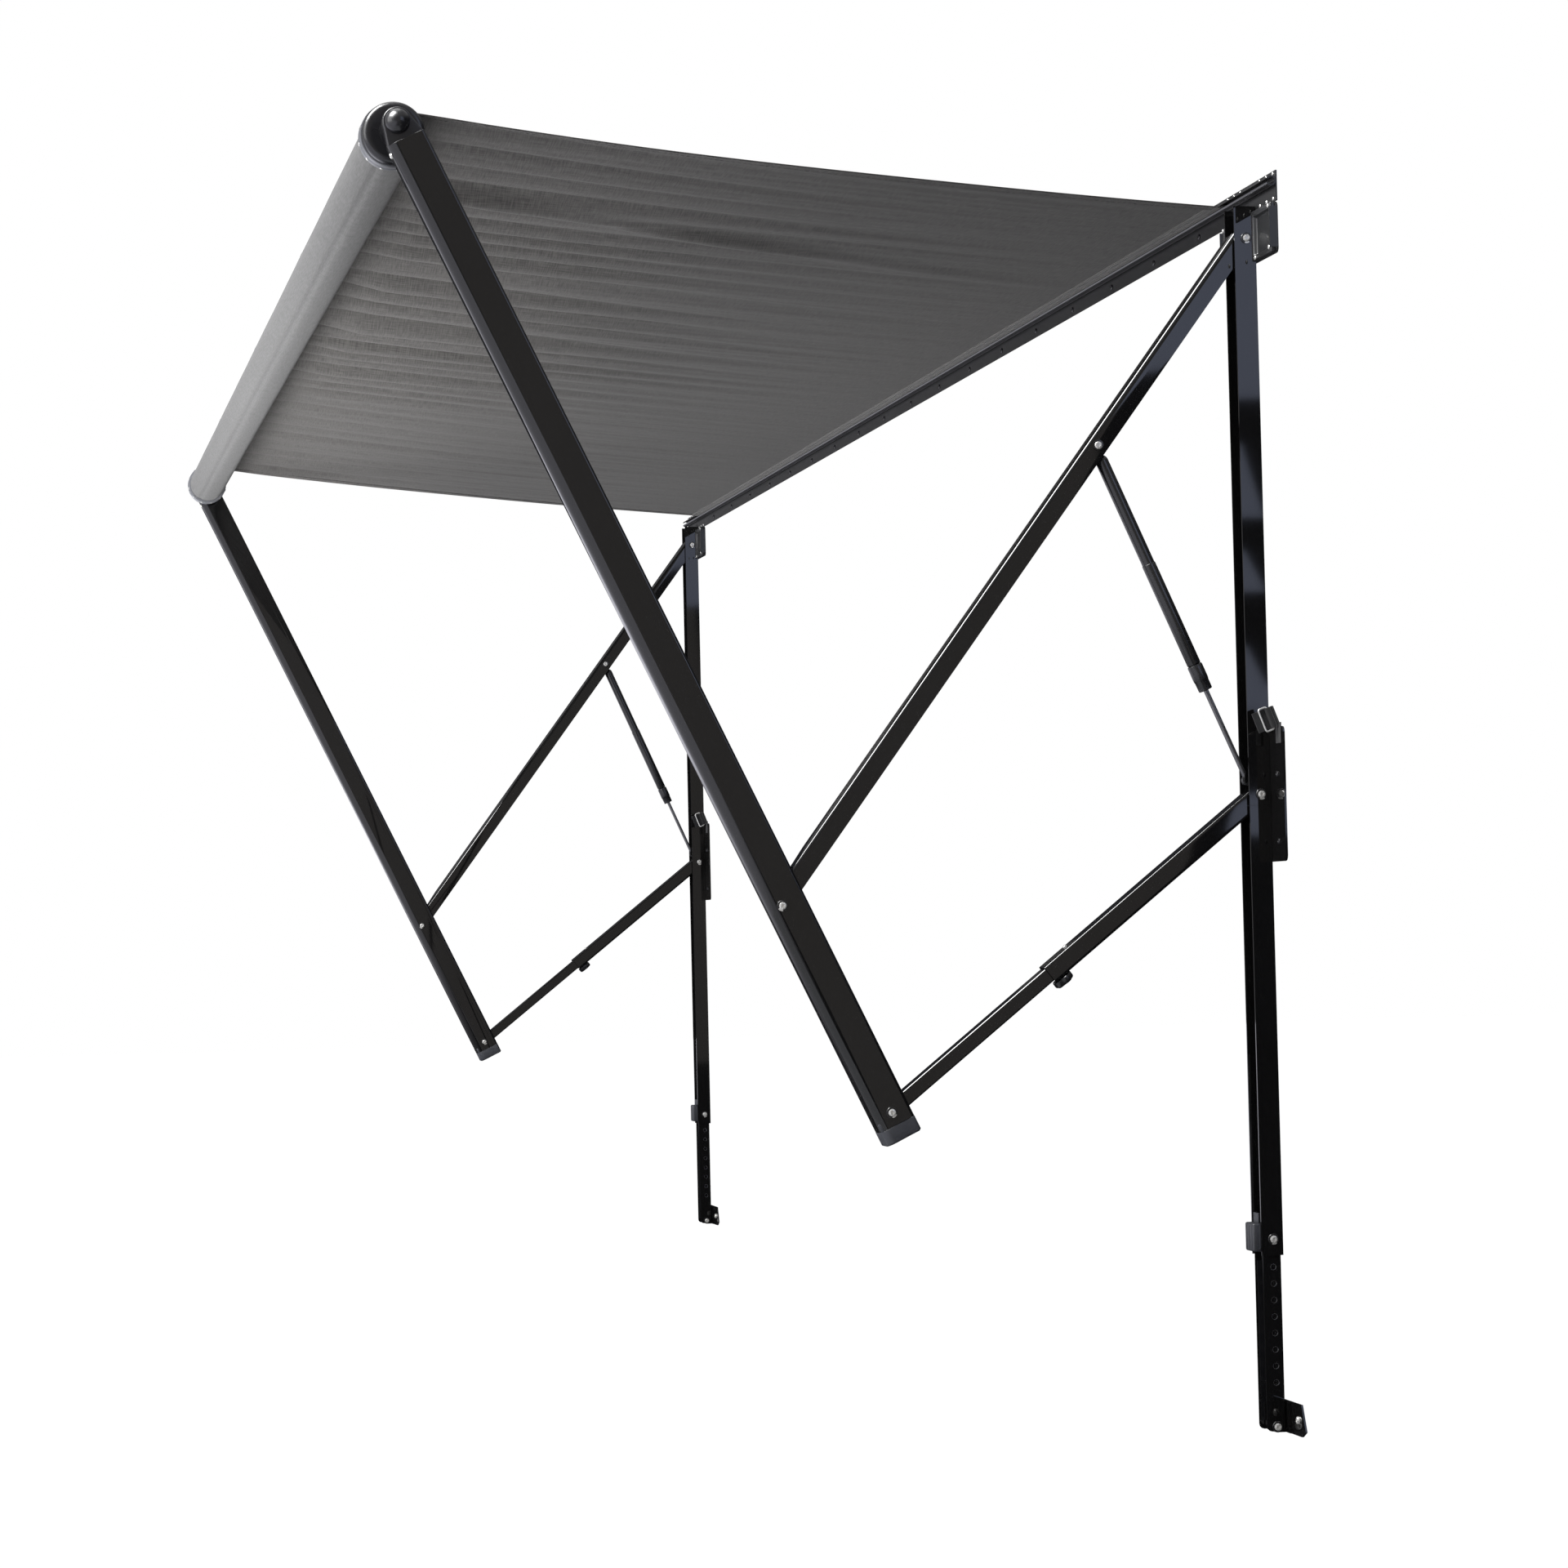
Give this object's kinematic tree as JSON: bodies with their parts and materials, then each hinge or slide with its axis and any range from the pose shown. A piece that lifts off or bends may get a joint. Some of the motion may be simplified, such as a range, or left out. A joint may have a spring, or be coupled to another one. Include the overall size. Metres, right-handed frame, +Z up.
{
  "type": "vehicle side awning",
  "caption": "Vehicle side awning: a canopy on a roller carried by two folding arm sets, each with a gas strut and a telescoping leg, below a wall rail.",
  "frame": {"origin": "middle of the wall rail's flat back face, in the plane of the vehicle's wall", "axes": "+X points away from the wall, +Y runs along the vehicle, +Z is up"},
  "size_m": [1.3875, 5.098, 2.0615],
  "materials": {
    "powder_coat": "satin black powder coat",
    "grey_plastic": "moulded grey-blue plastic",
    "black_plastic": "moulded black plastic, half gloss",
    "bright_steel": "zinc-plated steel",
    "strut_paint": "dark grey strut paint",
    "aluminium": "mill finish",
    "canopy_cloth": "coated woven polyester, grey",
    "webbing": "black woven webbing"
  },
  "bodies": {
    "root": {"wall_rail": "powder_coat", "right_wall_channel_upper": "powder_coat", "right_wall_channel_lower": "powder_coat", "right_top_bracket": "powder_coat", "right_mid_bracket": "powder_coat", "right_leg_guide": "grey_plastic", "right_webbing_loop": "webbing", "right_upper_pivot_bolt": "bright_steel", "right_lower_pivot_bolt": "bright_steel", "right_leg_bolt": "bright_steel", "left_wall_channel_upper": "powder_coat", "left_wall_channel_lower": "powder_coat", "left_top_bracket": "powder_coat", "left_mid_bracket": "powder_coat", "left_leg_guide": "grey_plastic", "left_webbing_loop": "webbing", "left_upper_pivot_bolt": "bright_steel", "left_lower_pivot_bolt": "bright_steel", "left_leg_bolt": "bright_steel"},
    "right_support": {"right_support_arm": "powder_coat", "right_elbow_bolt": "bright_steel", "right_strut_bolt": "bright_steel"},
    "right_arm": {"right_main_arm": "powder_coat", "right_main_arm_cap": "grey_plastic", "right_arm_head": "black_plastic", "right_tail_bolt": "bright_steel", "tube_motor": "bright_steel"},
    "right_lower": {"right_lower_arm_outer": "powder_coat", "right_lower_arm_inner": "powder_coat"},
    "right_knob": {"right_clamp_knob": "black_plastic"},
    "right_strut": {"right_strut_cylinder": "strut_paint", "right_strut_sleeve": "black_plastic"},
    "right_rod": {"right_strut_rod": "bright_steel"},
    "right_leg": {"right_leg_extension": "powder_coat", "right_foot_bracket": "powder_coat", "right_foot_bolt": "bright_steel"},
    "right_ring": {"right_tie_ring": "bright_steel"},
    "left_support": {"left_support_arm": "powder_coat", "left_elbow_bolt": "bright_steel", "left_strut_bolt": "bright_steel"},
    "left_arm": {"left_main_arm": "powder_coat", "left_main_arm_cap": "grey_plastic", "left_arm_head": "black_plastic", "left_tail_bolt": "bright_steel", "idler_spindle": "bright_steel"},
    "left_lower": {"left_lower_arm_outer": "powder_coat", "left_lower_arm_inner": "powder_coat"},
    "left_knob": {"left_clamp_knob": "black_plastic"},
    "left_strut": {"left_strut_cylinder": "strut_paint", "left_strut_sleeve": "black_plastic"},
    "left_rod": {"left_strut_rod": "bright_steel"},
    "left_leg": {"left_leg_extension": "powder_coat", "left_foot_bracket": "powder_coat", "left_foot_bolt": "bright_steel"},
    "left_ring": {"left_tie_ring": "bright_steel"},
    "roller": {"roller_tube": "aluminium", "fabric_roll": "canopy_cloth", "right_roller_end_cap": "black_plastic", "left_roller_end_cap": "black_plastic"},
    "canopy": {"canopy": "canopy_cloth"}
  },
  "joints": [
    {"name": "arm_fold", "type": "hinge", "parent": "root", "child": "right_support", "pos_m": [0.019, 2.425, -0.065], "axis": [0, 1, 0], "range_deg": [0, 32.5]},
    {"name": "right_elbow", "type": "hinge", "parent": "right_support", "child": "right_arm", "pos_m": [0.78104, 2.425, -1.08996], "axis": [0, 1, 0], "range_deg": [-57.8, 0]},
    {"name": "right_lower_fold", "type": "hinge", "parent": "root", "child": "right_lower", "pos_m": [0.019, 2.425, -0.933], "axis": [0, 1, 0], "range_deg": [0, 46.7]},
    {"name": "right_strut_turn", "type": "hinge", "parent": "right_support", "child": "right_strut", "pos_m": [0.26493, 2.425, -0.38907], "axis": [0, 1, 0], "range_deg": [-52.4, 0]},
    {"name": "right_strut_stroke", "type": "slide", "parent": "right_strut", "child": "right_rod", "axis": [-0.4053, 0, -0.9142], "range_m": [-0.1455, 0]},
    {"name": "right_leg_slide", "type": "slide", "parent": "root", "child": "right_leg", "axis": [0, 0, 1], "range_m": [-0.2032, 0.2032]},
    {"name": "right_knob_turn", "type": "hinge", "parent": "right_lower", "child": "right_knob", "pos_m": [0.33794, 2.425, -1.21326], "axis": [-0.6199, 0, -0.7847], "range_deg": [0, 360]},
    {"name": "right_ring_swing", "type": "hinge", "parent": "root", "child": "right_ring", "pos_m": [0.0173, 2.497, -0.8169], "axis": [0.3584, 0, 0.9336], "range_deg": [0, 100]},
    {"name": "left_arm_fold", "type": "hinge", "parent": "root", "child": "left_support", "pos_m": [0.019, -2.425, -0.065], "axis": [0, 1, 0], "range_deg": [0, 32.5]},
    {"name": "left_elbow", "type": "hinge", "parent": "left_support", "child": "left_arm", "pos_m": [0.78104, -2.425, -1.08996], "axis": [0, 1, 0], "range_deg": [-57.8, 0]},
    {"name": "left_lower_fold", "type": "hinge", "parent": "root", "child": "left_lower", "pos_m": [0.019, -2.425, -0.933], "axis": [0, 1, 0], "range_deg": [0, 46.7]},
    {"name": "left_strut_turn", "type": "hinge", "parent": "left_support", "child": "left_strut", "pos_m": [0.26493, -2.425, -0.38907], "axis": [0, 1, 0], "range_deg": [-52.4, 0]},
    {"name": "left_strut_stroke", "type": "slide", "parent": "left_strut", "child": "left_rod", "axis": [-0.4053, 0, -0.9142], "range_m": [-0.1455, 0]},
    {"name": "left_leg_slide", "type": "slide", "parent": "root", "child": "left_leg", "axis": [0, 0, 1], "range_m": [-0.2032, 0.2032]},
    {"name": "left_knob_turn", "type": "hinge", "parent": "left_lower", "child": "left_knob", "pos_m": [0.33794, -2.425, -1.21326], "axis": [-0.6199, 0, -0.7847], "range_deg": [0, 360]},
    {"name": "left_ring_swing", "type": "hinge", "parent": "root", "child": "left_ring", "pos_m": [0.0173, -2.353, -0.8169], "axis": [0.3584, 0, 0.9336], "range_deg": [0, 100]},
    {"name": "roller_spin", "type": "hinge", "parent": "right_arm", "child": "roller", "pos_m": [1.33804, 0, 0.09295], "axis": [0, 1, 0], "range_deg": [0, 1540]},
    {"name": "canopy_swing", "type": "hinge", "parent": "root", "child": "canopy", "pos_m": [0.0096, 0, 0.007], "axis": [0, 1, 0], "range_deg": [0, 2.95], "deforming": ["canopy"]}
  ],
  "couplings": [
    {"joint": "right_elbow", "follows": "arm_fold", "ratio": -1.7725},
    {"joint": "right_lower_fold", "follows": "arm_fold", "ratio": 1.43},
    {"joint": "right_strut_turn", "follows": "arm_fold", "ratio": -1.605},
    {"joint": "right_strut_stroke", "follows": "arm_fold", "m_per_rad": -0.255},
    {"joint": "left_arm_fold", "follows": "arm_fold", "ratio": 1},
    {"joint": "left_elbow", "follows": "arm_fold", "ratio": -1.7725},
    {"joint": "left_lower_fold", "follows": "arm_fold", "ratio": 1.43},
    {"joint": "left_strut_turn", "follows": "arm_fold", "ratio": -1.605},
    {"joint": "left_strut_stroke", "follows": "arm_fold", "m_per_rad": -0.255},
    {"joint": "canopy_swing", "follows": "arm_fold", "ratio": 0.09},
    {"joint": "roller_spin", "follows": "arm_fold", "ratio": 47}
  ]
}
